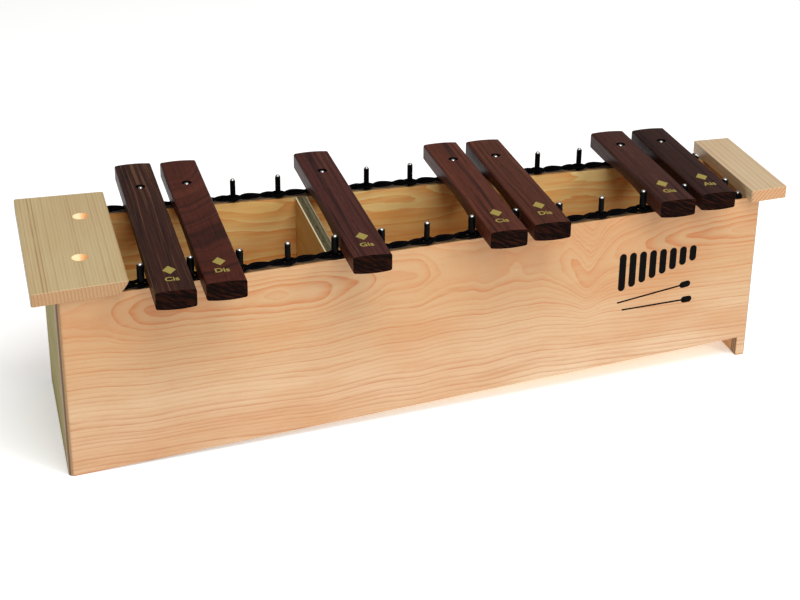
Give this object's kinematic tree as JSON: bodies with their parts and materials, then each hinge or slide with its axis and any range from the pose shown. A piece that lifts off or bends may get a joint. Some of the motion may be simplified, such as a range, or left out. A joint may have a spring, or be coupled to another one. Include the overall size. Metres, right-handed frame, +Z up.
{
  "type": "box resonator xylophone",
  "caption": "Tapered wooden resonator box with lift-off rosewood bars resting on twisted cords between pinned rails.",
  "frame": {"origin": "on the table, under the middle of the instrument's bounding box", "axes": "+X along the box from the long bars to the short ones, +Y towards the rear wall, +Z up"},
  "size_m": [0.7786, 0.316, 0.2097],
  "materials": {
    "box_wood": "satin lacquered plywood",
    "end_board_wood": "satin lacquered solid wood",
    "bar_rosewood": "satin oiled rosewood",
    "pin_steel": "polished nail heads",
    "sleeve_black": "matt black plastic tube",
    "cord_black": "braided black cord"
  },
  "bodies": {
    "resonator_box": {"bottom_board": "box_wood", "cord_loop_nails": "pin_steel", "front_guide_sleeves": "sleeve_black", "front_pin_tubes": "sleeve_black", "front_pins": "pin_steel", "front_support_cord": "cord_black", "front_wall": "box_wood", "left_board_cleat": "box_wood", "left_board_plugs": "end_board_wood", "left_board_screws": "pin_steel", "left_end_board": "end_board_wood", "left_end_wall": "box_wood", "left_partition": "box_wood", "rear_pin_tubes": "sleeve_black", "rear_pins": "pin_steel", "rear_support_cord": "cord_black", "rear_wall": "box_wood", "right_end_board": "end_board_wood", "right_end_wall": "box_wood", "right_partition": "box_wood"},
    "bar_a_sharp_high_body": {"bar_a_sharp_high": "bar_rosewood"},
    "bar_c_sharp_high_body": {"bar_c_sharp_high": "bar_rosewood"},
    "bar_c_sharp_low_body": {"bar_c_sharp_low": "bar_rosewood"},
    "bar_d_sharp_high_body": {"bar_d_sharp_high": "bar_rosewood"},
    "bar_d_sharp_low_body": {"bar_d_sharp_low": "bar_rosewood"},
    "bar_g_sharp_high_body": {"bar_g_sharp_high": "bar_rosewood"},
    "bar_g_sharp_low_body": {"bar_g_sharp_low": "bar_rosewood"}
  },
  "joints": [
    {"name": "a_sharp_high_lift", "type": "slide", "parent": "resonator_box", "child": "bar_a_sharp_high_body", "axis": [0, 0, 1], "range_m": [0, 0.05]},
    {"name": "c_sharp_high_lift", "type": "slide", "parent": "resonator_box", "child": "bar_c_sharp_high_body", "axis": [0, 0, 1], "range_m": [0, 0.05]},
    {"name": "c_sharp_low_lift", "type": "slide", "parent": "resonator_box", "child": "bar_c_sharp_low_body", "axis": [0, 0, 1], "range_m": [0, 0.05]},
    {"name": "d_sharp_high_lift", "type": "slide", "parent": "resonator_box", "child": "bar_d_sharp_high_body", "axis": [0, 0, 1], "range_m": [0, 0.05]},
    {"name": "d_sharp_low_lift", "type": "slide", "parent": "resonator_box", "child": "bar_d_sharp_low_body", "axis": [0, 0, 1], "range_m": [0, 0.05]},
    {"name": "g_sharp_high_lift", "type": "slide", "parent": "resonator_box", "child": "bar_g_sharp_high_body", "axis": [0, 0, 1], "range_m": [0, 0.05]},
    {"name": "g_sharp_low_lift", "type": "slide", "parent": "resonator_box", "child": "bar_g_sharp_low_body", "axis": [0, 0, 1], "range_m": [0, 0.05]}
  ]
}
